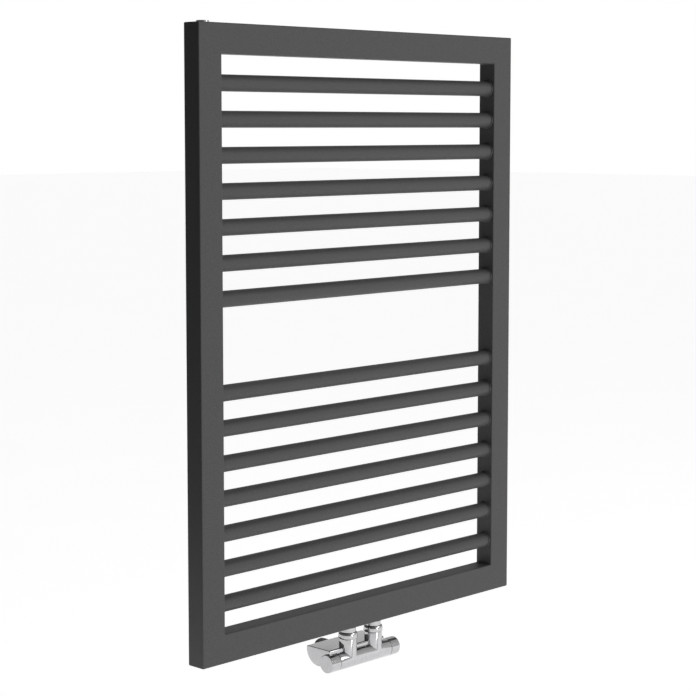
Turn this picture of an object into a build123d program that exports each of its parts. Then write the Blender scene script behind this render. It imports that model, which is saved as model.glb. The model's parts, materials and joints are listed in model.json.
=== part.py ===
from build123d import *
import os

# Towel radiator: a welded frame of rectangular steel profile with round cross tubes, and a chrome
# valve block screwed under the middle of its bottom rail. Millimetres. X runs along the width, Y
# points to the wall and Z up. The origin is the middle of the four wall fixings, on the back plane.

os.makedirs("parts", exist_ok=True)

# --- driving dimensions: the frame ---------------------------------------------------------------
frame_width = 600.0
frame_height = 806.0
profile_face = 38.0          # seen from the front
profile_depth = 28.0         # from the wall side to the front
profile_wall = 1.5
edge_radius = 1.5

tube_diameter = 21.3
tube_wall = 1.5
tube_pitch = 45.0
tubes_per_group = 7
first_tube = 73.5            # outer edge of the frame to the first tube's centre line

fixing_spacing_z = 640.0
fixing_boss_radius = 8.0
fixing_boss_depth = 12.0
fixing_hole_radius = 3.4     # tapped M8
fixing_hole_depth = 10.0

# --- driving dimensions: the valve ---------------------------------------------------------------
port_spacing = 50.0          # centre to centre, at the radiator and at the wall
barrel_diameter = 25.0
barrel_drop = 45.0           # barrel axis below the frame
barrel_length = 134.0        # over both caps
left_cap_length = 17.0
right_cap_length = 16.0
cap_gap = 0.6                # shadow line between a cap and the body
cap_wall = 2.0
cap_thread_radius = 10.5
cap_thread_length = 8.0
block_radius = 22.5          # rear block: short straight sides above a half round
block_side = 3.0
block_edge = 3.0             # rounding of its two long top edges
block_drop = 27.0            # its flat top below the frame
block_setback = 33.5         # its axis behind the front face
block_left = -63.0
block_right = 44.0
neck_radius = 12.4
collar_radius = 13.4         # nipple collar between the rail and a neck
collar_root_radius = 11.4
collar_root_height = 4.0
nipple_collar_height = 15.0
outlet_root_radius = 12.2
outlet_radius = 13.2         # three-quarter inch male thread
outlet_thread_length = 11.0
outlet_drop = 40.0
outlet_end = 69.0            # behind the front face

# --- derived places ------------------------------------------------------------------------------
running_gap = 0.05
middle_y = -profile_depth / 2
top = frame_height / 2
bottom = -frame_height / 2
upright_x = (frame_width - profile_face) / 2
opening_width = frame_width - 2 * profile_face
inside_face = profile_face - 2 * profile_wall
inside_depth = profile_depth - 2 * profile_wall
rail_z = (frame_height - profile_face) / 2
tube_radius = tube_diameter / 2
tube_hole_radius = tube_radius + running_gap
tube_half_length = opening_width / 2 + 0.8 * profile_wall
group_height = (tubes_per_group - 1) * tube_pitch
lower_tubes = [bottom + first_tube + i * tube_pitch for i in range(tubes_per_group)]
upper_tubes = [top - first_tube - group_height + i * tube_pitch for i in range(tubes_per_group)]
tube_heights = sorted(lower_tubes + upper_tubes, reverse=True)

port_x = port_spacing / 2
barrel_z = bottom - barrel_drop
barrel_radius = barrel_diameter / 2
barrel_left = -barrel_length / 2
barrel_right = barrel_length / 2
body_left = barrel_left + left_cap_length + cap_gap
body_right = barrel_right - right_cap_length - cap_gap
block_y = -profile_depth + block_setback
block_top = bottom - block_drop
outlet_y = -profile_depth + outlet_end
outlet_z = bottom - outlet_drop


# === frame =======================================================================================

# Uprights: hollow profile, drilled on the inner side for the tubes and open to both rails.
water_slot_height = 30.0
water_slot_depth = 20.0

for side, name in ((-1, "left_upright"), (1, "right_upright")):
    with BuildPart() as upright:
        with BuildSketch(Plane.XY.offset(bottom)):
            with Locations((side * upright_x, middle_y)):
                RectangleRounded(profile_face, profile_depth, edge_radius)
                Rectangle(inside_face, inside_depth, mode=Mode.SUBTRACT)
        extrude(amount=frame_height)
        with BuildSketch(Plane.YZ.offset(side * (opening_width / 2 - 1))):
            with Locations([(middle_y, z) for z in tube_heights]):
                Circle(tube_hole_radius)
            with Locations((middle_y, rail_z), (middle_y, -rail_z)):
                Rectangle(water_slot_depth, water_slot_height)
        extrude(amount=side * (profile_wall + 2), mode=Mode.SUBTRACT)
        with BuildSketch(Plane.XZ.offset(-1)):
            with Locations([(side * upright_x, z) for z in (-fixing_spacing_z / 2, fixing_spacing_z / 2)]):
                Circle(fixing_boss_radius + running_gap)
        extrude(amount=profile_wall + 2, mode=Mode.SUBTRACT)
    upright.part.label = name
    export_step(upright.part, f"parts/{name}.step")

# Rails: the same profile, between the uprights.
with BuildPart() as top_rail:
    with BuildSketch(Plane.YZ.offset(-opening_width / 2)):
        with Locations((middle_y, rail_z)):
            RectangleRounded(profile_depth, profile_face, edge_radius)
            Rectangle(inside_depth, inside_face, mode=Mode.SUBTRACT)
    extrude(amount=opening_width)
top_rail.part.label = "top_rail"
export_step(top_rail.part, "parts/top_rail.step")

nipple_thread_radius = 10.4   # half-inch male thread
with BuildPart() as bottom_rail:
    with BuildSketch(Plane.YZ.offset(-opening_width / 2)):
        with Locations((middle_y, -rail_z)):
            RectangleRounded(profile_depth, profile_face, edge_radius)
            Rectangle(inside_depth, inside_face, mode=Mode.SUBTRACT)
    extrude(amount=opening_width)
    with BuildSketch(Plane.XY.offset(bottom - 1)):
        with Locations((-port_x, middle_y), (port_x, middle_y)):
            Circle(nipple_thread_radius + running_gap)
    extrude(amount=profile_wall + 2, mode=Mode.SUBTRACT)
bottom_rail.part.label = "bottom_rail"
export_step(bottom_rail.part, "parts/bottom_rail.step")

# End plates: close the four open ends of the uprights. The upper left one takes the air vent.
plate_thickness = 2.0
plate_clearance = 0.1
vent_thread_radius = 6.58     # quarter-inch thread

plates = (
    ("top_left_end_plate", -1, 1),
    ("top_right_end_plate", 1, 1),
    ("bottom_left_end_plate", -1, -1),
    ("bottom_right_end_plate", 1, -1),
)
for name, side, end in plates:
    with BuildPart() as end_plate:
        with BuildSketch(Plane.XY.offset(end * top)):
            with Locations((side * upright_x, middle_y)):
                Rectangle(inside_face - plate_clearance, inside_depth - plate_clearance)
                if name == "top_left_end_plate":
                    Circle(vent_thread_radius + running_gap, mode=Mode.SUBTRACT)
        extrude(amount=-end * plate_thickness)
    end_plate.part.label = name
    export_step(end_plate.part, f"parts/{name}.step")

# Cross tubes, numbered from the top down.
for number, z in enumerate(tube_heights, start=1):
    name = f"tube_{number:02d}"
    with BuildPart() as tube:
        with BuildSketch(Plane.YZ.offset(-tube_half_length)):
            with Locations((middle_y, z)):
                Circle(tube_radius)
                Circle(tube_radius - tube_wall, mode=Mode.SUBTRACT)
        extrude(amount=2 * tube_half_length)
    tube.part.label = name
    export_step(tube.part, f"parts/{name}.step")

# Flow divider: a plate in the bottom rail that sends the water up one upright and down the other.
with BuildPart() as flow_divider:
    with BuildSketch(Plane.YZ.offset(-profile_wall / 2)):
        with Locations((middle_y, -rail_z)):
            Rectangle(inside_depth - plate_clearance, inside_face - plate_clearance)
    extrude(amount=profile_wall)
flow_divider.part.label = "flow_divider"
export_step(flow_divider.part, "parts/flow_divider.step")

# Sockets: tapped rings welded inside the bottom rail, one over each valve connection.
socket_radius = 12.3
socket_height = 13.0

for side, name in ((-1, "left_socket"), (1, "right_socket")):
    with BuildPart() as socket:
        with BuildSketch(Plane.XY.offset(bottom + profile_wall)):
            with Locations((side * port_x, middle_y)):
                Circle(socket_radius)
                Circle(nipple_thread_radius + running_gap, mode=Mode.SUBTRACT)
        extrude(amount=socket_height)
    socket.part.label = name
    export_step(socket.part, f"parts/{name}.step")

# Wall fixings: four blind tapped bosses in the backs of the uprights.
fixing_places = [(x, z) for x in (-upright_x, upright_x) for z in (-fixing_spacing_z / 2, fixing_spacing_z / 2)]
with BuildPart() as fixing_bosses:
    with BuildSketch(Plane.XZ):
        with Locations(fixing_places):
            Circle(fixing_boss_radius)
    extrude(amount=fixing_boss_depth)
    with BuildSketch(Plane.XZ):
        with Locations(fixing_places):
            Circle(fixing_hole_radius)
    extrude(amount=fixing_hole_depth, mode=Mode.SUBTRACT)
fixing_bosses.part.label = "fixing_bosses"
export_step(fixing_bosses.part, "parts/fixing_bosses.step")


# === air vent ====================================================================================

vent_plane = Plane(origin=(-upright_x, middle_y, top), x_dir=(1, 0, 0), z_dir=(0, 0, 1))
vent_head_radius = 8.0
vent_seal_height = 0.4
vent_head_height = 2.0
vent_boss_height = 8.0
vent_screw_radius = 2.5
vent_screw_sink = 0.3
vent_screw_length = 7.0
vent_slot_width = 0.8
vent_slot_depth = 0.9
vent_drill_radius = 1.5

# Boss: a tapped ring under the end plate.
with BuildPart() as vent_boss:
    with BuildSketch(vent_plane.offset(-plate_thickness)):
        Circle(vent_head_radius + 1.5)
        Circle(vent_thread_radius + running_gap, mode=Mode.SUBTRACT)
    extrude(amount=-vent_boss_height)
vent_boss.part.label = "vent_boss"
export_step(vent_boss.part, "parts/vent_boss.step")

# Seal: a flat ring under the plug's head.
with BuildPart() as vent_seal:
    with BuildSketch(vent_plane):
        Circle(vent_head_radius - 0.4)
        Circle(vent_thread_radius + running_gap, mode=Mode.SUBTRACT)
    extrude(amount=vent_seal_height)
vent_seal.part.label = "vent_seal"
export_step(vent_seal.part, "parts/vent_seal.step")

# Plug: a low round head on a threaded stem, bored for the vent screw and drilled right through.
vent_head_base = vent_plane.offset(vent_seal_height)
vent_head_top = vent_plane.offset(vent_seal_height + vent_head_height)
with BuildPart() as vent_plug:
    with BuildSketch(vent_head_base):
        Circle(vent_head_radius)
    extrude(amount=vent_head_height)
    fillet(vent_plug.edges().group_by(Axis.Z)[-1], 0.6)
    with BuildSketch(vent_head_base):
        Circle(vent_thread_radius)
    extrude(amount=-(vent_boss_height + vent_seal_height))
    with BuildSketch(vent_head_top):
        Circle(vent_screw_radius + running_gap)
    extrude(amount=-(vent_screw_sink + vent_screw_length), mode=Mode.SUBTRACT)
    with BuildSketch(vent_head_top):
        Circle(vent_drill_radius)
    extrude(amount=-2 * (vent_boss_height + vent_seal_height), mode=Mode.SUBTRACT)
vent_plug.part.label = "vent_plug"
export_step(vent_plug.part, "parts/vent_plug.step")

# Screw: slotted, turned to let the air out.
vent_screw_head = vent_head_top.offset(-vent_screw_sink)
with BuildPart() as vent_screw:
    with BuildSketch(vent_screw_head):
        Circle(vent_screw_radius)
    extrude(amount=-(vent_screw_length - 0.3))
    with BuildSketch(vent_screw_head):
        Rectangle(3 * vent_screw_radius, vent_slot_width)
    extrude(amount=-vent_slot_depth, mode=Mode.SUBTRACT)
vent_screw.part.label = "vent_screw"
export_step(vent_screw.part, "parts/vent_screw.step")


# === valve =======================================================================================

# Body: one casting. The barrel along the front carries the two inserts, the half-round block behind
# it leads to the wall, and two necks rise to the radiator. The flow side is the right one.
bore_radius = 7.5
seat_radius = 5.0
seat_x = 17.0
web_half = 8.0
neck_top = bottom - nipple_collar_height - 1.0
spigot_radius = 8.0
spigot_length = 10.0
passage_radius = 6.0
outlet_bore_radius = 9.0
cap_boss_left = body_left - cap_thread_length
cap_boss_right = body_right + cap_thread_length
chamber_height = 12.0
chamber_depth = 20.0
chamber_half_width = 13.0
chamber_y = block_y + 4.0
chamber_z = block_top - 12.0
cross_drill_radius = 3.5
cross_drill_x = web_half + cross_drill_radius + 1.0

barrel_start = Plane(origin=(body_left, middle_y, barrel_z), x_dir=(0, 1, 0), z_dir=(1, 0, 0))
barrel_axis_plane = Plane(origin=(0, middle_y, barrel_z), x_dir=(0, 1, 0), z_dir=(1, 0, 0))

with BuildPart() as valve_body:
    with BuildSketch(barrel_start):
        Circle(barrel_radius)
    extrude(amount=body_right - body_left)
    chamfer(valve_body.edges().filter_by(GeomType.CIRCLE), 0.3)
    with BuildSketch(Plane.YZ.offset(block_left)) as block_section:
        with BuildLine():
            Polyline(
                (block_y - block_radius, block_top - block_side),
                (block_y - block_radius, block_top),
                (block_y + block_radius, block_top),
                (block_y + block_radius, block_top - block_side),
            )
            ThreePointArc(
                (block_y + block_radius, block_top - block_side),
                (block_y, block_top - block_side - block_radius),
                (block_y - block_radius, block_top - block_side),
            )
        make_face()
        fillet(block_section.vertices().group_by(Axis.Y)[-1], block_edge - 0.1)
    extrude(amount=block_right - block_left)
    # The block's left end is cut back in front, where the cap needs room to turn.
    with BuildSketch(barrel_axis_plane.offset(body_left)):
        Circle(barrel_radius + 0.5)
    extrude(amount=block_left - body_left - 1, mode=Mode.SUBTRACT)
    with BuildSketch(barrel_axis_plane.offset(cap_boss_left)):
        Circle(cap_thread_radius)
    extrude(amount=cap_boss_right - cap_boss_left)
    with BuildSketch(Plane.XY.offset(barrel_z)):
        with Locations((-port_x, middle_y), (port_x, middle_y)):
            Circle(neck_radius)
    extrude(amount=neck_top - barrel_z)
    # Each outlet has a plain root and a thread on its last part.
    with BuildSketch(Plane.XZ.offset(-block_y)):
        with Locations((-port_x, outlet_z), (port_x, outlet_z)):
            Circle(outlet_root_radius)
    extrude(amount=-(outlet_y - block_y))
    with BuildSketch(Plane.XZ.offset(-(outlet_y - outlet_thread_length))):
        with Locations((-port_x, outlet_z), (port_x, outlet_z)):
            Circle(outlet_radius)
    extrude(amount=-outlet_thread_length)
    # Bores for the inserts, each ending in a valve seat, with a web between the two sides.
    for end, boss_end in ((-1, cap_boss_left), (1, cap_boss_right)):
        with BuildSketch(barrel_axis_plane.offset(boss_end)):
            Circle(bore_radius)
        extrude(amount=-end * (abs(boss_end) - seat_x), mode=Mode.SUBTRACT)
        with BuildSketch(barrel_axis_plane.offset(end * web_half)):
            Circle(seat_radius)
        extrude(amount=end * (seat_x - web_half + 1), mode=Mode.SUBTRACT)
    # Neck bores: a spigot bore for each nipple, and a passage down into the barrel.
    with BuildSketch(Plane.XY.offset(neck_top)):
        with Locations((-port_x, middle_y), (port_x, middle_y)):
            Circle(spigot_radius + running_gap)
    extrude(amount=-(spigot_length + 0.5), mode=Mode.SUBTRACT)
    with BuildSketch(Plane.XY.offset(neck_top)):
        with Locations((-port_x, middle_y), (port_x, middle_y)):
            Circle(passage_radius)
    extrude(amount=barrel_z - neck_top, mode=Mode.SUBTRACT)
    # Chambers in the block, drilled to the back of each seat, and the bores of the wall outlets.
    with BuildSketch(Plane.XY.offset(chamber_z - chamber_height / 2)):
        with Locations((-port_x + 3, chamber_y), (port_x - 3, chamber_y)):
            RectangleRounded(2 * chamber_half_width, chamber_depth, 3)
    extrude(amount=chamber_height, mode=Mode.SUBTRACT)
    with BuildSketch(Plane.XZ.offset(-chamber_y)):
        with Locations((-cross_drill_x, barrel_z), (cross_drill_x, barrel_z)):
            Circle(cross_drill_radius)
    extrude(amount=chamber_y - middle_y, mode=Mode.SUBTRACT)
    with BuildSketch(Plane.XZ.offset(-outlet_y)):
        with Locations((-port_x, outlet_z), (port_x, outlet_z)):
            Circle(outlet_bore_radius)
    extrude(amount=outlet_y - chamber_y - 4, mode=Mode.SUBTRACT)
valve_body.part.label = "valve_body"
export_step(valve_body.part, "parts/valve_body.step")

# Nipples: screwed up into the sockets. Below the rail each has a short root and a thicker collar
# with a rounded shoulder, and a plain spigot goes down into the body's neck.
nipple_bore_radius = 6.5
seal_height = 1.0
nipple_thread_length = 11.0
collar_top = bottom - seal_height
collar_bottom = neck_top + 0.4

for side, name in ((-1, "left_nipple"), (1, "right_nipple")):
    with BuildPart() as nipple:
        with BuildSketch(Plane.XY.offset(collar_bottom)):
            with Locations((side * port_x, middle_y)):
                Circle(collar_radius)
        extrude(amount=collar_top - collar_root_height - collar_bottom)
        fillet(nipple.edges().group_by(Axis.Z)[-1], 1.9)
        with BuildSketch(Plane.XY.offset(collar_top)):
            with Locations((side * port_x, middle_y)):
                Circle(collar_root_radius)
        extrude(amount=-collar_root_height)
        with BuildSketch(Plane.XY.offset(collar_top)):
            with Locations((side * port_x, middle_y)):
                Circle(nipple_thread_radius)
        extrude(amount=seal_height + nipple_thread_length)
        with BuildSketch(Plane.XY.offset(collar_bottom)):
            with Locations((side * port_x, middle_y)):
                Circle(spigot_radius)
        extrude(amount=-spigot_length)
        with BuildSketch(Plane.XY.offset(collar_bottom - spigot_length)):
            with Locations((side * port_x, middle_y)):
                Circle(nipple_bore_radius)
        extrude(amount=60, mode=Mode.SUBTRACT)
        # Groove for the spigot's sealing ring.
        with BuildSketch(Plane.XY.offset(collar_bottom - 7.0)):
            with Locations((side * port_x, middle_y)):
                Circle(spigot_radius + 0.1)
                Circle(spigot_radius - 1.0, mode=Mode.SUBTRACT)
        extrude(amount=1.8, mode=Mode.SUBTRACT)
    nipple.part.label = name
    export_step(nipple.part, f"parts/{name}.step")

    # Sealing ring in the spigot's groove.
    ring_name = name.replace("nipple", "spigot_ring")
    with BuildPart() as spigot_ring:
        with BuildSketch(Plane.XY.offset(collar_bottom - 6.9)):
            with Locations((side * port_x, middle_y)):
                Circle(spigot_radius)
                Circle(spigot_radius - 0.95, mode=Mode.SUBTRACT)
        extrude(amount=1.6)
        fillet(spigot_ring.edges(), 0.3)
    spigot_ring.part.label = ring_name
    export_step(spigot_ring.part, f"parts/{ring_name}.step")

    # Flat seal between the collar and the rail.
    seal_name = name.replace("nipple", "rail_seal")
    with BuildPart() as rail_seal:
        with BuildSketch(Plane.XY.offset(collar_top)):
            with Locations((side * port_x, middle_y)):
                Circle(collar_root_radius)
                Circle(nipple_thread_radius + running_gap, mode=Mode.SUBTRACT)
        extrude(amount=seal_height)
    rail_seal.part.label = seal_name
    export_step(rail_seal.part, f"parts/{seal_name}.step")

# Valve insert, right side: a sleeve in the barrel, a spring-loaded pin and the disc on its end.
sleeve_radius = bore_radius - running_gap
pin_radius = 1.5
pin_end = barrel_right - 4.5
pin_collar_x = 51.0
spring_seat_x = 42.0
pin_stroke = 1.5
disc_radius = 6.0
disc_thickness = 3.0
disc_open_gap = 2.0
head_half_flat = 7.0

with BuildPart() as insert_sleeve:
    with BuildSketch(barrel_axis_plane.offset(34)):
        Circle(sleeve_radius)
    extrude(amount=cap_boss_right - 34)
    with BuildSketch(barrel_axis_plane.offset(cap_boss_right)):
        RegularPolygon(head_half_flat, 6, major_radius=False)
    extrude(amount=3)
    with BuildSketch(barrel_axis_plane.offset(33)):
        Circle(pin_radius + running_gap)
    extrude(amount=40, mode=Mode.SUBTRACT)
    with BuildSketch(barrel_axis_plane.offset(spring_seat_x)):
        Circle(4.5)
    extrude(amount=cap_boss_right - spring_seat_x - 2, mode=Mode.SUBTRACT)
    with BuildSketch(barrel_axis_plane.offset(36)):
        Circle(sleeve_radius + 1)
        Circle(sleeve_radius - 1.0, mode=Mode.SUBTRACT)
    extrude(amount=1.8, mode=Mode.SUBTRACT)
insert_sleeve.part.label = "insert_sleeve"
export_step(insert_sleeve.part, "parts/insert_sleeve.step")

with BuildPart() as insert_pin:
    with BuildSketch(barrel_axis_plane.offset(seat_x + disc_open_gap + disc_thickness)):
        Circle(pin_radius)
    extrude(amount=pin_end - seat_x - disc_open_gap - disc_thickness)
    with BuildSketch(barrel_axis_plane.offset(pin_collar_x)):
        Circle(4.0)
    extrude(amount=1.2)
insert_pin.part.label = "insert_pin"
export_step(insert_pin.part, "parts/insert_pin.step")

with BuildPart() as valve_disc:
    with BuildSketch(barrel_axis_plane.offset(seat_x + disc_open_gap)):
        Circle(disc_radius)
    extrude(amount=disc_thickness)
    fillet(valve_disc.edges(), 0.4)
valve_disc.part.label = "valve_disc"
export_step(valve_disc.part, "parts/valve_disc.step")

# Return spring round the pin, between the sleeve's shoulder and the pin's collar.
spring_wire_radius = 0.45
spring_radius = 3.2
spring_length = pin_collar_x - spring_seat_x - pin_stroke - 2 * spring_wire_radius - 0.4
with BuildPart() as return_spring:
    with BuildLine():
        coil = Helix(
            pitch=spring_length / 4,
            height=spring_length,
            radius=spring_radius,
            center=(spring_seat_x + spring_wire_radius + 0.1, middle_y, barrel_z),
            direction=(1, 0, 0),
        )
    with BuildSketch(Plane(origin=coil @ 0, z_dir=coil % 0)):
        Circle(spring_wire_radius)
    sweep(path=coil, is_frenet=True)
return_spring.part.label = "return_spring"
export_step(return_spring.part, "parts/return_spring.step")

# Lockshield, left side: a sleeve, the spindle with its key socket and the disc that it drives.
lock_sleeve_inner = -36.0
spindle_radius = 3.5
spindle_left = cap_boss_left - 2.6
spindle_right = -31.0
key_half_flat = 2.0
key_depth = 6.0
stem_radius = 2.0
stem_length = 9.0
lock_stroke = 2.5
lock_disc_right = -(seat_x + lock_stroke + 0.5)

with BuildPart() as lock_sleeve:
    with BuildSketch(barrel_axis_plane.offset(cap_boss_left)):
        Circle(sleeve_radius)
    extrude(amount=lock_sleeve_inner - cap_boss_left)
    with BuildSketch(barrel_axis_plane.offset(cap_boss_left)):
        RegularPolygon(head_half_flat, 6, major_radius=False)
    extrude(amount=-2)
    with BuildSketch(barrel_axis_plane.offset(cap_boss_left - 3)):
        Circle(spindle_radius + running_gap)
    extrude(amount=40, mode=Mode.SUBTRACT)
    with BuildSketch(barrel_axis_plane.offset(lock_sleeve_inner - 3.8)):
        Circle(sleeve_radius + 1)
        Circle(sleeve_radius - 1.0, mode=Mode.SUBTRACT)
    extrude(amount=1.8, mode=Mode.SUBTRACT)
lock_sleeve.part.label = "lock_sleeve"
export_step(lock_sleeve.part, "parts/lock_sleeve.step")

with BuildPart() as lock_spindle:
    with BuildSketch(barrel_axis_plane.offset(spindle_left)):
        Circle(spindle_radius)
    extrude(amount=spindle_right - spindle_left)
    with BuildSketch(barrel_axis_plane.offset(spindle_left)):
        RegularPolygon(key_half_flat, 6, major_radius=False)
    extrude(amount=key_depth, mode=Mode.SUBTRACT)
    with BuildSketch(barrel_axis_plane.offset(spindle_right)):
        Circle(stem_radius + running_gap)
    extrude(amount=-(stem_length + 1), mode=Mode.SUBTRACT)
lock_spindle.part.label = "lock_spindle"
export_step(lock_spindle.part, "parts/lock_spindle.step")

with BuildPart() as lock_disc:
    with BuildSketch(barrel_axis_plane.offset(lock_disc_right)):
        Circle(disc_radius)
    extrude(amount=-disc_thickness)
    fillet(lock_disc.edges(), 0.4)
    with BuildSketch(barrel_axis_plane.offset(lock_disc_right - disc_thickness)):
        Circle(stem_radius)
    extrude(amount=spindle_right - lock_disc_right + disc_thickness - stem_length)
lock_disc.part.label = "lock_disc"
export_step(lock_disc.part, "parts/lock_disc.step")

# Sealing rings in the grooves of both sleeves.
ring_places = (("insert_ring", 36.1), ("lock_ring", lock_sleeve_inner - 3.7))
for name, ring_x in ring_places:
    with BuildPart() as sleeve_ring:
        with BuildSketch(barrel_axis_plane.offset(ring_x)):
            Circle(sleeve_radius)
            Circle(sleeve_radius - 0.95, mode=Mode.SUBTRACT)
        extrude(amount=1.6)
        fillet(sleeve_ring.edges(), 0.3)
    sleeve_ring.part.label = name
    export_step(sleeve_ring.part, f"parts/{name}.step")

# Caps: plain cups on the body's threads. The right one has a pip that presses the pin.
cap_edge = 0.8
pip_radius = 3.0
pip_clearance = 0.4

with BuildPart() as right_cap:
    with BuildSketch(barrel_axis_plane.offset(body_right + cap_gap)):
        Circle(barrel_radius)
    extrude(amount=right_cap_length)
    fillet(right_cap.edges().group_by(Axis.X)[-1], cap_edge)
    with BuildSketch(barrel_axis_plane.offset(body_right + cap_gap)):
        Circle(cap_thread_radius + running_gap)
    extrude(amount=right_cap_length - cap_wall, mode=Mode.SUBTRACT)
    with BuildSketch(barrel_axis_plane.offset(pin_end + pip_clearance)):
        Circle(pip_radius)
    extrude(amount=barrel_right - cap_wall - pin_end - pip_clearance)
right_cap.part.label = "right_cap"
export_step(right_cap.part, "parts/right_cap.step")

with BuildPart() as left_cap:
    with BuildSketch(barrel_axis_plane.offset(body_left - cap_gap)):
        Circle(barrel_radius)
    extrude(amount=-left_cap_length)
    fillet(left_cap.edges().group_by(Axis.X)[0], cap_edge)
    with BuildSketch(barrel_axis_plane.offset(body_left - cap_gap)):
        Circle(cap_thread_radius + running_gap)
    extrude(amount=-(left_cap_length - cap_wall), mode=Mode.SUBTRACT)
left_cap.part.label = "left_cap"
export_step(left_cap.part, "parts/left_cap.step")

print("frame", frame_width, "x", frame_height, "x", profile_depth)
print("towel gap, tube centre to tube centre", round(upper_tubes[0] - lower_tubes[-1], 2))
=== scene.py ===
# %% [markdown]
# # A towel radiator and its valve
# A steel frame of rectangular profile holds fourteen round tubes, seven above and seven below a wide
# gap for towels. A chrome twin valve hangs under the middle of the bottom rail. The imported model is
# loaded first, because most places and sizes below are worked out from it.

# %% Load the frame
import json
import math
import bpy
from mathutils import Matrix, Vector


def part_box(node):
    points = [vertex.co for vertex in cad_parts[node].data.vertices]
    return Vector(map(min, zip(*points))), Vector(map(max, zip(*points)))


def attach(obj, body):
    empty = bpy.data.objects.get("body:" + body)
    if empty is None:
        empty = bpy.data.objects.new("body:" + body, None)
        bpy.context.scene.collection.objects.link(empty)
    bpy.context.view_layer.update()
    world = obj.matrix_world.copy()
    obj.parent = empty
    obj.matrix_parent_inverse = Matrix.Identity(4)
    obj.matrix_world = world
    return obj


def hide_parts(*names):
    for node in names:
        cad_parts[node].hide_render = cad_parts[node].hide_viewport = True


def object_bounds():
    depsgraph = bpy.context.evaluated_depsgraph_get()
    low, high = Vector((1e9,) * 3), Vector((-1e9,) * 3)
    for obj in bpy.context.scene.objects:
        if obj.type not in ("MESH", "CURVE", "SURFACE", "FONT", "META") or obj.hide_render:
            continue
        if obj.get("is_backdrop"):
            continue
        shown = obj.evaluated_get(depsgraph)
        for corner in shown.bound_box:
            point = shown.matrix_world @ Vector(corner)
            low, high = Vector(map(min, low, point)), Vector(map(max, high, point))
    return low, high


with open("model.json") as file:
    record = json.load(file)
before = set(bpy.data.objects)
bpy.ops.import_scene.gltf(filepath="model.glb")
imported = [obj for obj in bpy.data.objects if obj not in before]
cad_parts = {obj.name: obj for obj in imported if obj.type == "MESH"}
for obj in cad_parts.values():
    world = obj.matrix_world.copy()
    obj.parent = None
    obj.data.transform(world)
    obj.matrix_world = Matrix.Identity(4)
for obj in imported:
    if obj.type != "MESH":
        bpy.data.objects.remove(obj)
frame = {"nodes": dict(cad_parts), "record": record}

MM = 0.001
cad_low, cad_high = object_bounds()
print("CAD box in metres", [round(v, 4) for v in cad_low], [round(v, 4) for v in cad_high])

# %% [markdown]
# ## Sizes read from the frame
# The outline and the profile come from the uprights, and the tubes give their own places. So the
# looks follow the design if a dimension changes there.

# %% Sizes
upright_low, upright_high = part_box("left_upright")
right_low, right_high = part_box("right_upright")
tube_low, tube_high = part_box("tube_01")

frame_low = Vector(upright_low)
frame_high = Vector(right_high)
profile_face = upright_high[0] - upright_low[0]
tube_radius = (tube_high[2] - tube_low[2]) / 2
tube_y = (tube_high[1] + tube_low[1]) / 2
opening_half = right_low[0]
tube_names = sorted(name for name in frame["nodes"] if name.startswith("tube_"))
print("profile", round(profile_face, 4), "tube radius", round(tube_radius, 5), "tubes", len(tube_names))

# %% [markdown]
# ## Helpers for modelling
# An operator acts on everything that is selected, so each new piece starts with nothing selected.
# Faces are then picked in code, by where they are or which way they point.

# %% Selection helpers
def clear_selection():
    if bpy.context.object and bpy.context.object.mode != "OBJECT":
        bpy.ops.object.mode_set(mode="OBJECT")
    bpy.ops.object.select_all(action="DESELECT")


def make_active(piece):
    clear_selection()
    piece.select_set(True)
    bpy.context.view_layer.objects.active = piece


def pick_faces(piece, test):
    """Selects the faces whose centre and normal pass the test, and enters edit mode."""
    make_active(piece)
    bpy.context.tool_settings.mesh_select_mode = (False, False, True)
    mesh = piece.data
    mesh.vertices.foreach_set("select", [False] * len(mesh.vertices))
    mesh.edges.foreach_set("select", [False] * len(mesh.edges))
    chosen = [test(face.center, face.normal) for face in mesh.polygons]
    mesh.polygons.foreach_set("select", chosen)
    bpy.ops.object.mode_set(mode="EDIT")
    return sum(chosen)


def pick_edges(piece, test):
    """Selects the edges whose two ends pass the test, and enters edit mode."""
    make_active(piece)
    bpy.context.tool_settings.mesh_select_mode = (False, True, False)
    mesh = piece.data
    mesh.polygons.foreach_set("select", [False] * len(mesh.polygons))
    points = [v.co for v in mesh.vertices]
    chosen = [test(points[e.vertices[0]], points[e.vertices[1]]) for e in mesh.edges]
    mesh.edges.foreach_set("select", chosen)
    on_edge = [False] * len(mesh.vertices)
    for edge, wanted in zip(mesh.edges, chosen):
        if wanted:
            on_edge[edge.vertices[0]] = True
            on_edge[edge.vertices[1]] = True
    mesh.vertices.foreach_set("select", on_edge)
    bpy.ops.object.mode_set(mode="EDIT")
    return sum(chosen)


def back_to_object():
    bpy.ops.object.mode_set(mode="OBJECT")


# %% Starting shapes
TURN = {"X": (0, math.pi / 2, 0), "Y": (math.pi / 2, 0, 0), "Z": (0, 0, 0)}


def add_box(name, low, high):
    clear_selection()
    low, high = Vector(low), Vector(high)
    bpy.ops.mesh.primitive_cube_add(size=1, location=(low + high) / 2, scale=high - low)
    return settle(name)


def add_cylinder(name, axis, centre, radius, length, sides=96):
    """A closed cylinder along X, Y or Z, centred on a point."""
    clear_selection()
    bpy.ops.mesh.primitive_cylinder_add(
        vertices=sides, radius=radius, depth=length, location=centre, rotation=TURN[axis]
    )
    return settle(name)


def settle(name):
    """Names the new object and moves its place into its mesh."""
    bpy.ops.object.transform_apply(location=True, rotation=True, scale=True)
    bpy.context.object.name = name
    bpy.context.object.data.name = name
    return bpy.context.object


# %% Working along an axis
AXIS = {"X": Vector((1, 0, 0)), "Y": Vector((0, 1, 0)), "Z": Vector((0, 0, 1))}


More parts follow.
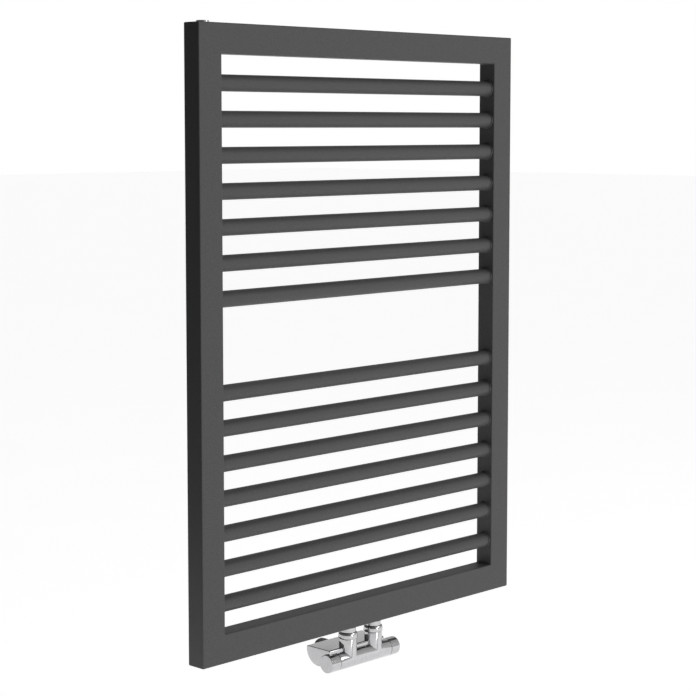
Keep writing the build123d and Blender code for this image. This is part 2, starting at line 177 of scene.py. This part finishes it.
def grow(axis, centre, step, scale):
    """Extrudes the picked face by a step along the axis and scales it round the axis."""
    bpy.ops.mesh.extrude_region_move(TRANSFORM_OT_translate={"value": AXIS[axis] * step})
    rescale(axis, centre, scale)


def rescale(axis, centre, scale):
    factors = [1.0 if letter == axis else scale for letter in "XYZ"]
    bpy.ops.transform.resize(value=factors, center_override=centre)


def pick_end(piece, axis, side):
    """Picks the flat end face that lies furthest along the axis, on one side."""
    index = "XYZ".index(axis)
    reach = max(side * v.co[index] for v in piece.data.vertices)
    return pick_faces(piece, lambda c, n: side * n[index] > 0.99 and side * c[index] > reach - 1e-6)


def round_end(piece, axis, side, size, steps=4):
    """Rounds the rim of an end face."""
    pick_end(piece, axis, side)
    bpy.ops.mesh.region_to_loop()
    bpy.ops.mesh.bevel(offset=size, segments=steps, affect="EDGES")
    back_to_object()


# %% Finishing helpers
def apply_modifier(piece, kind, **settings):
    make_active(piece)
    bpy.ops.object.modifier_add(type=kind)
    modifier = piece.modifiers[-1]
    for key, value in settings.items():
        setattr(modifier, key, value)
    bpy.ops.object.modifier_apply(modifier=modifier.name)


def combine(piece, other, operation):
    """Joins another solid to the piece or cuts it away, then deletes the tool."""
    apply_modifier(piece, "BOOLEAN", operation=operation, object=other, solver="EXACT")
    bpy.data.objects.remove(other)


def tidy_mesh(piece, merge=1e-6):
    """Merges doubles and turns all faces outwards."""
    pick_faces(piece, lambda c, n: True)
    bpy.ops.mesh.remove_doubles(threshold=merge)
    bpy.ops.mesh.normals_make_consistent(inside=False)
    back_to_object()


def smooth(piece, degrees=35):
    make_active(piece)
    bpy.ops.object.shade_smooth_by_angle(angle=math.radians(degrees))


def even_shading(piece):
    """Keeps large faces flat in the shading, with the turn of light only on the rounded edges."""
    apply_modifier(piece, "WEIGHTED_NORMAL", keep_sharp=True, weight=50)


def copy_piece(piece, name, move):
    copy = piece.copy()
    copy.data = piece.data.copy()
    copy.data.transform(Matrix.Translation(move))
    copy.name = name
    copy.data.name = name
    bpy.context.scene.collection.objects.link(copy)
    return copy


def triangles(piece):
    piece.data.calc_loop_triangles()
    return len(piece.data.loop_triangles)


# %% [markdown]
# ## Materials
# Every finish is built from nodes that read Object coordinates. All pieces sit at the origin, so
# those are metres in the object's own frame, and a grain of half a millimetre is a noise scale of
# about 2000. Powder coat is a matt paint with a fine orange-peel skin and fine flecks.

# %% Material helpers
def new_material(name):
    material = bpy.data.materials.new(name)
    material.use_nodes = True
    tree = material.node_tree
    shader = tree.nodes["Principled BSDF"]
    place = tree.nodes.new("ShaderNodeTexCoord")
    return material, tree, shader, place


def noise(tree, place, scale, detail=3.0, roughness=0.5, stretch=None):
    node = tree.nodes.new("ShaderNodeTexNoise")
    node.inputs["Scale"].default_value = scale
    node.inputs["Detail"].default_value = detail
    node.inputs["Roughness"].default_value = roughness
    source = place.outputs["Object"]
    if stretch:
        mapping = tree.nodes.new("ShaderNodeMapping")
        mapping.inputs["Scale"].default_value = stretch
        tree.links.new(source, mapping.inputs["Vector"])
        source = mapping.outputs["Vector"]
    tree.links.new(source, node.inputs["Vector"])
    return node.outputs["Fac"]


def ramp(tree, value, low, high, start=0.3, end=0.7):
    """Turns a noise value into a colour or a number between two ends."""
    node = tree.nodes.new("ShaderNodeValToRGB")
    node.color_ramp.elements[0].position = start
    node.color_ramp.elements[1].position = end
    node.color_ramp.elements[0].color = (*low, 1)
    node.color_ramp.elements[1].color = (*high, 1)
    tree.links.new(value, node.inputs["Fac"])
    return node.outputs["Color"]


def span(tree, value, low, high):
    node = tree.nodes.new("ShaderNodeMapRange")
    node.inputs["From Min"].default_value = 0.3
    node.inputs["From Max"].default_value = 0.7
    node.inputs["To Min"].default_value = low
    node.inputs["To Max"].default_value = high
    tree.links.new(value, node.inputs["Value"])
    return node.outputs["Result"]


def bump(tree, value, strength, distance, before=None):
    node = tree.nodes.new("ShaderNodeBump")
    node.inputs["Strength"].default_value = strength
    node.inputs["Distance"].default_value = distance
    tree.links.new(value, node.inputs["Height"])
    if before:
        tree.links.new(before, node.inputs["Normal"])
    return node.outputs["Normal"]


# %% Powder coat
def make_powder_coat():
    material, tree, shader, place = new_material("anthracite_powder_coat")
    fleck = noise(tree, place, 650, detail=3)
    grain = noise(tree, place, 1900, detail=2)
    peel = noise(tree, place, 420, detail=2)
    colour = ramp(tree, fleck, (0.054, 0.054, 0.055), (0.079, 0.079, 0.080))
    tree.links.new(colour, shader.inputs["Base Color"])
    tree.links.new(span(tree, grain, 0.46, 0.62), shader.inputs["Roughness"])
    skin = bump(tree, peel, 0.25, 0.00006)
    tree.links.new(bump(tree, grain, 0.35, 0.00004, before=skin), shader.inputs["Normal"])
    shader.inputs["Specular IOR Level"].default_value = 0.35
    return material


# %% [markdown]
# Chrome plate is a mirror over polished brass. Its roughness is very low but not nil, and the
# polishing leaves a faint waviness that bends reflections a little.

# %% Chrome and the inner metals
def make_chrome():
    material, tree, shader, place = new_material("chrome_plating")
    wave = noise(tree, place, 90, detail=1)
    haze = noise(tree, place, 260, detail=4)
    colour = ramp(tree, haze, (0.50, 0.50, 0.51), (0.56, 0.56, 0.57))
    tree.links.new(colour, shader.inputs["Base Color"])
    tree.links.new(span(tree, haze, 0.05, 0.10), shader.inputs["Roughness"])
    tree.links.new(bump(tree, wave, 0.12, 0.0002), shader.inputs["Normal"])
    shader.inputs["Metallic"].default_value = 1.0
    return material


def make_turned_metal(name, dark, light, rough, stretch):
    """Turned or drawn metal: fine lines across one direction and a little colour variation."""
    material, tree, shader, place = new_material(name)
    lines = noise(tree, place, 900, detail=3, stretch=stretch)
    stain = noise(tree, place, 120, detail=4)
    tree.links.new(ramp(tree, stain, dark, light), shader.inputs["Base Color"])
    tree.links.new(span(tree, lines, rough - 0.08, rough + 0.08), shader.inputs["Roughness"])
    tree.links.new(bump(tree, lines, 0.3, 0.00003), shader.inputs["Normal"])
    shader.inputs["Metallic"].default_value = 1.0
    return material


def make_rubber():
    material, tree, shader, place = new_material("moulded_rubber")
    dust = noise(tree, place, 700, detail=4)
    colour = ramp(tree, dust, (0.018, 0.018, 0.018), (0.032, 0.032, 0.031))
    tree.links.new(colour, shader.inputs["Base Color"])
    tree.links.new(span(tree, dust, 0.62, 0.8), shader.inputs["Roughness"])
    tree.links.new(bump(tree, dust, 0.3, 0.00004), shader.inputs["Normal"])
    return material


turned_steel = ((0.36, 0.36, 0.37), (0.46, 0.46, 0.47), 0.36, (1, 6, 1))
turned_brass = ((0.62, 0.45, 0.20), (0.74, 0.56, 0.28), 0.28, (6, 1, 1))
drawn_stainless = ((0.50, 0.50, 0.52), (0.60, 0.60, 0.62), 0.25, (6, 1, 1))

finishes = {
    "anthracite_coat": make_powder_coat(),
    "chrome_plate": make_chrome(),
    "bare_steel": make_turned_metal("bare_steel_turned", *turned_steel),
    "brass": make_turned_metal("brass_turned", *turned_brass),
    "stainless_steel": make_turned_metal("stainless_drawn", *drawn_stainless),
    "seal_rubber": make_rubber(),
}
print("finishes", sorted(finishes))

# %% Give every node its finish
slot_of = {part["node"]: part["material_slot"] for part in frame["record"]["subparts"]}
for name, node in frame["nodes"].items():
    node.data.materials.clear()
    node.data.materials.append(finishes[slot_of[name]])


def finish_piece(piece, slot, body, *nodes):
    """Gives a new piece its finish and its body, and hides the nodes that it stands for."""
    piece.data.materials.clear()
    piece.data.materials.append(finishes[slot])
    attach(piece, body)
    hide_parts(*nodes)
    print(piece.name, triangles(piece), "triangles")


# %% [markdown]
# ## The welded frame
# Uprights and rails are cut from one profile, welded, ground flush and coated, so on the real
# object no joint shows. It could be four bars, but their rounded edges would leave grooves at the
# corners. A box with its front and back inset and bridged gives one ring instead.

# %% Frame ring
edge_radius = 1.6 * MM

ring = add_box("welded_frame", frame_low, frame_high)
pick_faces(ring, lambda c, n: abs(n.y) > 0.99)
bpy.ops.mesh.inset(thickness=profile_face, depth=0, use_individual=True)
bpy.ops.mesh.bridge_edge_loops()
back_to_object()
tidy_mesh(ring)
right_angles = {"limit_method": "ANGLE", "angle_limit": math.radians(60)}
apply_modifier(ring, "BEVEL", width=edge_radius, segments=4, **right_angles)

# %% [markdown]
# The wall side has four holes for the tapped fixing bosses. The air vent has no hole here, as its
# head covers the place.

# %% Holes in the ring
boss_low, boss_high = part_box("fixing_bosses")
boss_radius = 8.0 * MM
hole_gap = 0.15 * MM
depth = boss_high[1] - boss_low[1]
middle = boss_high[1] - depth / 2 + MM
for x in (boss_low[0] + boss_radius, boss_high[0] - boss_radius):
    for z in (boss_low[2] + boss_radius, boss_high[2] - boss_radius):
        tool = add_cylinder("boss_hole", "Y", (x, middle, z), boss_radius + hole_gap, depth + 2 * MM)
        combine(ring, tool, "DIFFERENCE")
smooth(ring)
even_shading(ring)
finish_piece(
    ring,
    "anthracite_coat",
    "radiator",
    "left_upright",
    "right_upright",
    "top_rail",
    "bottom_rail",
    "top_left_end_plate",
    "top_right_end_plate",
    "bottom_left_end_plate",
    "bottom_right_end_plate",
)

# %% [markdown]
# ## The cross tubes
# Each tube is welded all round where it meets the upright. A bare cylinder would meet the wall in a
# hard line, so each end swells in a few small steps into the bead of the weld.

# %% First tube
bead = 1.9 * MM
bead_rise = 0.8
bead_steps = 6
wall_bite = 0.4 * MM


def weld_bead(piece, side, centre):
    """Swells one end of a tube into a quarter-round bead against the wall."""
    pick_end(piece, "X", side)
    radius = tube_radius
    for k in range(1, bead_steps + 1):
        turn = k / bead_steps * math.pi / 2
        before = (k - 1) / bead_steps * math.pi / 2
        step = bead * (math.cos(before) - math.cos(turn))
        new_radius = tube_radius + bead * math.sin(turn) * bead_rise
        grow("X", centre, side * step, new_radius / radius)
        radius = new_radius
    grow("X", centre, side * wall_bite, 1.0)
    back_to_object()


first_z = (tube_low[2] + tube_high[2]) / 2
first_tube = add_cylinder(
    "cross_tube_01", "X", (0, tube_y, first_z), tube_radius, 2 * (opening_half - bead), sides=96
)
for side in (-1, 1):
    weld_bead(first_tube, side, (0, tube_y, first_z))
tidy_mesh(first_tube)
smooth(first_tube, 40)

# %% The other tubes
finish_piece(first_tube, "anthracite_coat", "radiator", "tube_01")
for name in tube_names[1:]:
    low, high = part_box(name)
    move = Vector((0, 0, (low[2] + high[2]) / 2 - first_z))
    tube = copy_piece(first_tube, "cross_" + name, move)
    finish_piece(tube, "anthracite_coat", "radiator", name)

# %% [markdown]
# ## The valve body
# One brass casting, turned, polished and chromed: a barrel in front, a half-round block behind it,
# two necks up to the rail and two threaded outlets to the wall. Each is made as a solid with its
# own rounded edges, and the solids are then joined, as a pattern maker glues up a pattern.

# %% Valve sizes
body_low, body_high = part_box("valve_body")
left_cap_low, left_cap_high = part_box("left_cap")
right_cap_low, right_cap_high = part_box("right_cap")

barrel_radius = (left_cap_high[2] - left_cap_low[2]) / 2
barrel_z = (left_cap_high[2] + left_cap_low[2]) / 2
barrel_y = (left_cap_high[1] + left_cap_low[1]) / 2
cap_gap = 0.6 * MM
barrel_left = left_cap_high[0] + cap_gap
barrel_right = right_cap_low[0] - cap_gap
port_x = 25 * MM
block_radius = 22.5 * MM
block_side = 3 * MM
block_top = frame_low.z - 27 * MM
block_y = frame_low.y + 33.5 * MM
block_left = body_low[0]
block_right = 44 * MM
neck_radius = 12.4 * MM
neck_top = body_high[2]
outlet_root_radius = 12.2 * MM
outlet_radius = 13.2 * MM
outlet_z = frame_low.z - 40 * MM
print("barrel from", round(barrel_left, 4), "to", round(barrel_right, 4))

# %% Threaded ends
# Shares of the pitch: the plain run before the first ridge, each flank, the crest and the root.
LEAD, FLANK, CREST, ROOT = 0.2, 0.4, 0.15, 0.05


def threaded_end(piece, axis, side, centre, start, radius, length, pitch, depth):
    """Adds a thread to an end face of a start radius, as a row of ridges."""
    pick_end(piece, axis, side)
    lead = LEAD * pitch
    ridges = int((length - lead) / pitch)
    root = (radius - depth) / radius
    grow(axis, centre, side * lead, (radius - depth) / start)
    for _ in range(ridges):
        grow(axis, centre, side * FLANK * pitch, 1 / root)
        grow(axis, centre, side * CREST * pitch, 1.0)
        grow(axis, centre, side * FLANK * pitch, root)
        grow(axis, centre, side * ROOT * pitch, 1.0)
    grow(axis, centre, side * (length - lead - ridges * pitch), 1.0)
    back_to_object()


# %% Barrel
cap_thread_radius = 10.4 * MM
cap_thread_length = 7.6 * MM
barrel_edge = 0.4 * MM
barrel_centre = ((barrel_left + barrel_right) / 2, barrel_y, barrel_z)

barrel = add_cylinder(
    "chrome_valve_body", "X", barrel_centre, barrel_radius, barrel_right - barrel_left, sides=128
)
for side in (-1, 1):
    round_end(barrel, "X", side, barrel_edge, 3)
    pick_end(barrel, "X", side)
    bpy.ops.mesh.inset(thickness=barrel_radius - barrel_edge - cap_thread_radius, depth=0)
    grow("X", barrel_centre, side * cap_thread_length, 1.0)
    back_to_object()
print("barrel", triangles(barrel), "triangles")

# %% [markdown]
# The block has a flat top, short straight sides and a half-round belly. A cylinder cut in half gives
# the belly, and the cut face is drawn up for the sides. Its two long top edges are well rounded.

# %% Block
block_middle = (block_left + block_right) / 2
belly_z = block_top - block_side
block_top_edge = 2.8 * MM
block_edge = 1.0 * MM

block = add_cylinder(
    "block", "X", (block_middle, block_y, belly_z), block_radius, block_right - block_left, sides=160
)
pick_faces(block, lambda c, n: True)
bpy.ops.mesh.bisect(
    plane_co=(0, block_y, belly_z), plane_no=(0, 0, 1), use_fill=True, clear_outer=True
)
back_to_object()
tidy_mesh(block)
pick_faces(block, lambda c, n: n.z > 0.99 and c.z > belly_z - 1e-6)
bpy.ops.mesh.extrude_region_move(TRANSFORM_OT_translate={"value": (0, 0, block_side)})
back_to_object()


def long_top_edge(p, q):
    outer = abs(p.y - block_y) > block_radius - 1e-5
    return outer and min(p.z, q.z) > block_top - 1e-6 and abs(p.y - q.y) < 1e-6


pick_edges(block, long_top_edge)
bpy.ops.mesh.bevel(offset=block_top_edge, segments=6, affect="EDGES")
back_to_object()
apply_modifier(block, "BEVEL", width=block_edge, segments=4, **right_angles)

# %% [markdown]
# The left end of the block reaches past the barrel, so it is cut back where the left cap sits.

# %% Join block, necks and outlets
room_length = 50 * MM
room_gap = 0.5 * MM
room_centre = (barrel_left - room_length / 2, barrel_y, barrel_z)
room = add_cylinder("cap_room", "X", room_centre, barrel_radius + room_gap, room_length, sides=128)
combine(block, room, "DIFFERENCE")
combine(barrel, block, "UNION")

stub_end = body_high[1]
thread_length = 11 * MM
thread_pitch = 1.81 * MM
thread_depth = 1.1 * MM
neck_base = barrel_z + 0.5 * MM
neck_edge = 0.5 * MM
for x in (-port_x, port_x):
    neck = add_cylinder(
        "neck", "Z", (x, barrel_y, (neck_top + neck_base) / 2), neck_radius, neck_top - neck_base, sides=96
    )
    round_end(neck, "Z", 1, neck_edge, 3)
    combine(barrel, neck, "UNION")
    root_end = stub_end - thread_length
    stub = add_cylinder(
        "stub", "Y", (x, (block_y + root_end) / 2, outlet_z), outlet_root_radius, root_end - block_y, sides=96
    )
    centre = (x, 0, outlet_z)
    threaded_end(
        stub, "Y", 1, centre, outlet_root_radius, outlet_radius, thread_length, thread_pitch, thread_depth
    )
    combine(barrel, stub, "UNION")

# %% Bores
sleeve_radius = 7.5 * MM
spigot_radius = 8 * MM
spigot_gap = 0.1 * MM
outlet_bore = 9 * MM
bore_depth = 30 * MM
for side, end in ((-1, barrel_left - cap_thread_length), (1, barrel_right + cap_thread_length)):
    middle = end - side * (bore_depth / 2 - MM)
    bore = add_cylinder("bore", "X", (middle, barrel_y, barrel_z), sleeve_radius, bore_depth + 2 * MM)
    combine(barrel, bore, "DIFFERENCE")
for x in (-port_x, port_x):
    bore = add_cylinder("bore", "Y", (x, stub_end - 8 * MM, outlet_z), outlet_bore, 22 * MM)
    combine(barrel, bore, "DIFFERENCE")
    bore = add_cylinder("bore", "Z", (x, barrel_y, neck_top - 4 * MM), spigot_radius + spigot_gap, 14 * MM)
    combine(barrel, bore, "DIFFERENCE")
tidy_mesh(barrel, merge=2e-6)
smooth(barrel, 30)
finish_piece(barrel, "chrome_plate", "radiator", "valve_body")

# %% [markdown]
# ## Caps
# Both are turned cups with a flat disc face and a softly broken rim. The thin dark ring between a
# cap and the barrel is a real gap, so it is left open here too.

# %% Caps
cap_wall = 2 * MM
cap_rim = 0.9 * MM
cap_mouth = 0.25 * MM
cap_clearance = 0.15 * MM


def make_cap(name, side, low, high, body, node):
    centre = ((low[0] + high[0]) / 2, barrel_y, barrel_z)
    cap = add_cylinder(name, "X", centre, barrel_radius, high[0] - low[0], sides=128)
    round_end(cap, "X", side, cap_rim, 5)
    round_end(cap, "X", -side, cap_mouth, 2)
    pick_end(cap, "X", -side)
    bpy.ops.mesh.inset(thickness=barrel_radius - cap_mouth - cap_thread_radius - cap_clearance, depth=0)
    grow("X", centre, side * (high[0] - low[0] - cap_wall), 1.0)
    back_to_object()
    tidy_mesh(cap)
    smooth(cap, 40)
    even_shading(cap)
    finish_piece(cap, "chrome_plate", body, node)


make_cap("chrome_left_cap", -1, left_cap_low, left_cap_high, "return_cap", "left_cap")
make_cap("chrome_right_cap", 1, right_cap_low, right_cap_high, "flow_cap", "right_cap")

# %% [markdown]
# ## Nipples
# Between the rail and each neck sits the collar of a screwed nipple. Its upper part is turned to a
# tall round shoulder below a thinner root, and a hairline gap shows where it meets the neck.

# %% Nipples
nipple_low, nipple_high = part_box("left_nipple")
collar_radius = (nipple_high[0] - nipple_low[0]) / 2
collar_bottom = neck_top + 0.4 * MM
collar_top = frame_low.z - 1.0 * MM
root_height = 6 * MM
root_radius = 11.0 * MM
shoulder = 5 * MM
shoulder_steps = 8
nipple_edge = 0.4 * MM
spigot_length = 8 * MM


def make_nipple(name, x, node):
    centre = (x, barrel_y, 0)
    height = collar_top - root_height - shoulder - collar_bottom
    nipple = add_cylinder(
        name, "Z", (x, barrel_y, collar_bottom + height / 2), collar_radius, height, sides=96
    )
    pick_end(nipple, "Z", 1)
    radius = collar_radius
    for k in range(1, shoulder_steps + 1):
        turn = k / shoulder_steps * math.pi / 2
        before = (k - 1) / shoulder_steps * math.pi / 2
        new_radius = root_radius + (collar_radius - root_radius) * math.cos(turn)
        grow("Z", centre, shoulder * (math.sin(turn) - math.sin(before)), new_radius / radius)
        radius = new_radius
    grow("Z", centre, root_height, 1.0)
    back_to_object()
    round_end(nipple, "Z", -1, nipple_edge, 3)
    pick_end(nipple, "Z", -1)
    bpy.ops.mesh.inset(thickness=collar_radius - nipple_edge - spigot_radius + spigot_gap, depth=0)
    bpy.ops.mesh.extrude_region_move(TRANSFORM_OT_translate={"value": (0, 0, -spigot_length)})
    back_to_object()
    tidy_mesh(nipple)
    smooth(nipple, 35)
    finish_piece(nipple, "chrome_plate", "radiator", node)


make_nipple("chrome_left_nipple", -port_x, "left_nipple")
make_nipple("chrome_right_nipple", port_x, "right_nipple")

# %% [markdown]
# ## Stage
# A pale floor well below the radiator, lit like a light table, and soft light from all round that is
# weaker from above and dark on the left. A large soft box at the front right and a tall strip
# straight in front give the front faces and the chrome their light.

# %% Floor
clear_selection()
floor_drop = 0.25
floor_size = 60
floor_z = cad_low[2] - floor_drop
bpy.ops.mesh.primitive_plane_add(size=floor_size, location=(0, 0, floor_z))
floor = settle("floor")
floor_material, floor_tree, floor_shader, floor_place = new_material("pale_floor")
floor_colour = ramp(floor_tree, noise(floor_tree, floor_place, 3), (0.92, 0.92, 0.92), (0.94, 0.94, 0.94))
floor_tree.links.new(floor_colour, floor_shader.inputs["Base Color"])
floor_shader.inputs["Roughness"].default_value = 0.9
floor_shader.inputs["Specular IOR Level"].default_value = 0.1
floor_shader.inputs["Emission Color"].default_value = (1, 1, 1, 1)
floor_shader.inputs["Emission Strength"].default_value = 0.7
floor.data.materials.append(floor_material)
floor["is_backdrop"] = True

# %% [markdown]
# A dark panel on the left keeps light off the radiator's left side. The camera doesn't see it.

# %% Dark panel
clear_selection()
bpy.ops.mesh.primitive_plane_add(size=1, location=(0, 0, 0), rotation=(0, math.pi / 2, 0))
panel = settle("dark_panel")
panel_length = 2.2
panel_height = 1.3
panel_centre = (-0.6, 0.2, 0.22)
panel.data.transform(Matrix.Diagonal((1, panel_length, panel_height, 1)))
panel.data.transform(Matrix.Translation(panel_centre))
panel_material, _, panel_shader, _ = new_material("grey_cloth")
panel_shader.inputs["Base Color"].default_value = (0.14, 0.14, 0.14, 1)
panel_shader.inputs["Roughness"].default_value = 0.9
panel.data.materials.append(panel_material)
panel.visible_camera = False
panel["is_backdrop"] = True

# %% [markdown]
# The light from all round is dark towards the left and weaker straight above and below. The camera
# itself sees it as plain white.

# %% Light from all round
world = bpy.data.worlds.new("studio")
bpy.context.scene.world = world
world.use_nodes = True
tree = world.node_tree
tree.nodes.clear()
output = tree.nodes.new("ShaderNodeOutputWorld")
background = tree.nodes.new("ShaderNodeBackground")
place = tree.nodes.new("ShaderNodeTexCoord")
toward = tree.nodes.new("ShaderNodeVectorMath")
toward.operation = "DOT_PRODUCT"
toward.inputs[1].default_value = (-0.97, 0.24, 0.0)
tree.links.new(place.outputs["Generated"], toward.inputs[0])
shade = tree.nodes.new("ShaderNodeMapRange")
shade.interpolation_type = "SMOOTHSTEP"
shade.inputs["From Min"].default_value = -0.25
shade.inputs["From Max"].default_value = 0.45
shade.inputs["To Min"].default_value = 0.62
shade.inputs["To Max"].default_value = 0.01
tree.links.new(toward.outputs["Value"], shade.inputs["Value"])
height = tree.nodes.new("ShaderNodeSeparateXYZ")
tree.links.new(place.outputs["Generated"], height.inputs[0])
steep = tree.nodes.new("ShaderNodeMath")
steep.operation = "ABSOLUTE"
tree.links.new(height.outputs["Z"], steep.inputs[0])
lift = tree.nodes.new("ShaderNodeMapRange")
lift.inputs["From Min"].default_value = 0.35
lift.inputs["From Max"].default_value = 1.0
lift.inputs["To Min"].default_value = 1.0
lift.inputs["To Max"].default_value = 0.55
tree.links.new(steep.outputs[0], lift.inputs["Value"])
level = tree.nodes.new("ShaderNodeMath")
level.operation = "MULTIPLY"
tree.links.new(shade.outputs["Result"], level.inputs[0])
tree.links.new(lift.outputs["Result"], level.inputs[1])
seen = tree.nodes.new("ShaderNodeLightPath")
blend = tree.nodes.new("ShaderNodeMix")
blend.data_type = "FLOAT"
tree.links.new(seen.outputs["Is Camera Ray"], blend.inputs[0])
tree.links.new(level.outputs[0], blend.inputs[2])
blend.inputs[3].default_value = 1.0
tree.links.new(blend.outputs[0], background.inputs["Strength"])
background.inputs["Color"].default_value = (1, 1, 1, 1)
tree.links.new(background.outputs[0], output.inputs["Surface"])

# %% [markdown]
# The soft boxes are given a place, a point to face, a width, a height and a power in watts.

# %% Soft boxes
def soft_box(name, place, aim, width, height, watts):
    light = bpy.data.lights.new(name, "AREA")
    light.shape = "RECTANGLE"
    light.size = width
    light.size_y = height
    light.energy = watts
    lamp = bpy.data.objects.new(name, light)
    bpy.context.scene.collection.objects.link(lamp)
    lamp.location = place
    lamp.rotation_euler = (Vector(aim) - Vector(place)).to_track_quat("-Z", "Y").to_euler()


soft_box("key", (1.6, -2.6, 1.2), (0, 0, 0), 1.4, 1.4, 18)
soft_box("strip", (0.2, -2.4, -0.4), (0, 0, -0.4), 0.3, 1.5, 9)

# %% [markdown]
# The camera stands at the front left and looks slightly down, with a small vertical shift.

# %% Camera
camera_data = bpy.data.cameras.new("camera")
camera = bpy.data.objects.new("camera", camera_data)
bpy.context.scene.collection.objects.link(camera)
bpy.context.scene.camera = camera
camera_data.sensor_width = 36
camera_data.lens = 96.24
camera_data.shift_y = -0.075
camera.location = (-1.8102, -1.7463, 0.2751)
look_right = math.radians(45.866)
look_down = math.radians(5.19)
camera.rotation_euler = (math.pi / 2 - look_down, 0, -look_right)
bpy.context.scene.view_settings.view_transform = "Standard"

# %% Sizes of this build
low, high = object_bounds()
